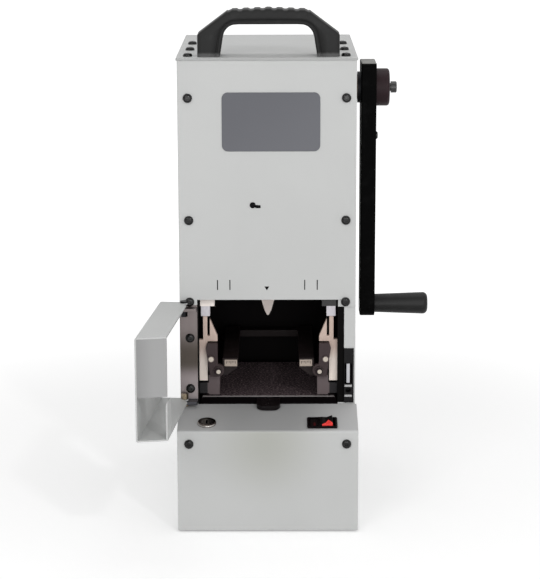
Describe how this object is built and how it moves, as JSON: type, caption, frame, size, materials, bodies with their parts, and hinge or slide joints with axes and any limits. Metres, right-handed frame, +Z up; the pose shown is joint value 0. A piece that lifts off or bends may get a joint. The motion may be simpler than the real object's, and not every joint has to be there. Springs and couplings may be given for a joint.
{
  "type": "hard drive crusher",
  "caption": "Tabletop crusher for bare hard drives: a cranked gear train drives a wedge down into a cell behind a hinged guard door, over a key lock and switch console.",
  "frame": {"origin": "middle of the upright body on the floor under its feet", "axes": "+X towards the crank side, the front with the cell and door faces -Y, +Z up"},
  "size_m": [0.2905, 0.3982, 0.5138],
  "materials": {
    "shell_paint": "fine textured light grey paint",
    "hinge_steel": "brushed, dull",
    "door_steel": "satin grey paint",
    "pin_brass": "plain",
    "screw_black": "black oxide",
    "handle_black": "satin moulded",
    "foot_rubber": "matt",
    "base_steel": "black paint",
    "label_grey": "anodised grey, satin",
    "lamp_lens": "dark lens",
    "frame_black": "black paint",
    "cell_steel": "black paint",
    "guide_beige": "moulded",
    "rail_brown": "moulded",
    "bracket_dark": "dark coating",
    "fastener_steel": "bright",
    "tag_cream": "plain",
    "tray_black": "black paint",
    "mat_foam": "open foam",
    "pull_black": "moulded",
    "latch_black": "black coating",
    "roller_chrome": "polished",
    "clip_zinc": "zinc plated",
    "crank_black": "gloss black",
    "washer_steel": "turned",
    "hub_dark": "moulded",
    "grip_rubber": "smooth",
    "shaft_steel": "ground",
    "gear_steel": "oiled",
    "bush_bronze": "sintered",
    "ram_steel": "ground",
    "wedge_steel": "pale coating",
    "guide_iron": "machined",
    "motor_paint": "satin",
    "lock_chrome": "polished",
    "core_brass": "nickel plated",
    "switch_black": "moulded",
    "rocker_red": "moulded",
    "inlet_black": "moulded",
    "board_green": "circuit board"
  },
  "bodies": {
    "body": {"base_plate": "base_steel", "rubber_feet": "foot_rubber", "side_cover_left": "shell_paint", "side_cover_right": "shell_paint", "front_panel": "shell_paint", "top_plate": "shell_paint", "back_cover": "shell_paint", "power_inlet": "inlet_black", "console_cover": "shell_paint", "carry_handle": "handle_black", "label_plate": "label_grey", "ready_lamp": "lamp_lens", "hinge_plate": "hinge_steel", "hinge_pins": "pin_brass", "panel_screws": "screw_black", "top_screws": "screw_black", "side_frame_left": "frame_black", "side_frame_right": "frame_black", "chamber_ceiling": "cell_steel", "chamber_floor": "cell_steel", "chamber_back": "cell_steel", "frame_ties": "shaft_steel", "support_runners": "rail_brown", "drive_guides": "guide_beige", "stop_blocks": "guide_beige", "latch_block": "latch_black", "latch_clips": "clip_zinc", "shaft_bushes": "bush_bronze", "ram_guides": "guide_iron", "motor_body": "motor_paint", "motor_bracket": "base_steel", "lock_barrel": "lock_chrome", "switch_bezel": "switch_black", "control_board": "board_green"},
    "door": {"guard_door": "door_steel"},
    "crank": {"crank_shaft": "shaft_steel", "crank_washer": "washer_steel", "crank_arm": "crank_black", "crank_hub": "hub_dark", "crank_bolt": "screw_black", "arm_set_screw": "screw_black", "grip_spindle": "shaft_steel"},
    "grip": {"crank_grip": "grip_rubber"},
    "counter": {"counter_shaft": "gear_steel", "counter_gear": "gear_steel"},
    "output": {"output_shaft": "gear_steel", "output_gear": "gear_steel"},
    "press_ram": {"ram": "ram_steel", "crushing_wedge": "wedge_steel"},
    "rotor": {"motor_rotor": "gear_steel"},
    "tray": {"catch_tray": "tray_black", "tray_mat": "mat_foam", "tray_pull": "pull_black"},
    "support": {"support_brackets": "bracket_dark", "support_rails": "rail_brown", "support_fasteners": "fastener_steel", "height_tags": "tag_cream"},
    "roller": {"latch_roller": "roller_chrome"},
    "lock": {"lock_core": "core_brass"},
    "rocker": {"switch_rocker": "rocker_red"}
  },
  "joints": [
    {"name": "door_swing", "type": "hinge", "parent": "body", "child": "door", "pos_m": [-0.0835, -0.126, 0.12], "axis": [0, 0, -1], "range_deg": [-95.5, 0]},
    {"name": "crank_turn", "type": "hinge", "parent": "body", "child": "crank", "pos_m": [0, -0.01, 0.425], "axis": [1, 0, 0], "range_deg": [0, 1260]},
    {"name": "grip_spin", "type": "hinge", "parent": "crank", "child": "grip", "pos_m": [0.112, -0.01, 0.197], "axis": [1, 0, 0], "continuous": true},
    {"name": "counter_turn", "type": "hinge", "parent": "body", "child": "counter", "pos_m": [0, -0.002, 0.37311], "axis": [1, 0, 0], "range_deg": [-315, 0]},
    {"name": "output_turn", "type": "hinge", "parent": "body", "child": "output", "pos_m": [0, -0.007, 0.3058], "axis": [1, 0, 0], "range_deg": [0, 78.75]},
    {"name": "ram_slide", "type": "slide", "parent": "body", "child": "press_ram", "axis": [0, 0, -1], "range_m": [0, 0.033]},
    {"name": "motor_turn", "type": "hinge", "parent": "body", "child": "rotor", "pos_m": [0, 0.044, 0.39842], "axis": [1, 0, 0], "range_deg": [0, 1260]},
    {"name": "tray_slide", "type": "slide", "parent": "body", "child": "tray", "axis": [0, -1, 0], "range_m": [0, 0.14]},
    {"name": "support_slide", "type": "slide", "parent": "body", "child": "support", "axis": [0, -1, 0], "range_m": [0, 0.15]},
    {"name": "roller_spin", "type": "hinge", "parent": "body", "child": "roller", "pos_m": [0.081, -0.115, 0.1488], "axis": [0, 0, 1], "continuous": true},
    {"name": "key_turn", "type": "hinge", "parent": "body", "child": "lock", "pos_m": [-0.0605, -0.1586, 0.10811], "axis": [0, -0.234, 0.9722], "range_deg": [0, 90]},
    {"name": "rocker_tilt", "type": "hinge", "parent": "body", "child": "rocker", "pos_m": [0.0541, -0.15893, 0.10597], "axis": [0, 0.9722, 0.234], "range_deg": [0, 24]}
  ],
  "couplings": [
    {"joint": "counter_turn", "follows": "crank_turn", "ratio": -0.25},
    {"joint": "output_turn", "follows": "crank_turn", "ratio": 0.0625},
    {"joint": "ram_slide", "follows": "crank_turn", "m_per_rad": 0.0015},
    {"joint": "motor_turn", "follows": "crank_turn", "ratio": 1}
  ]
}
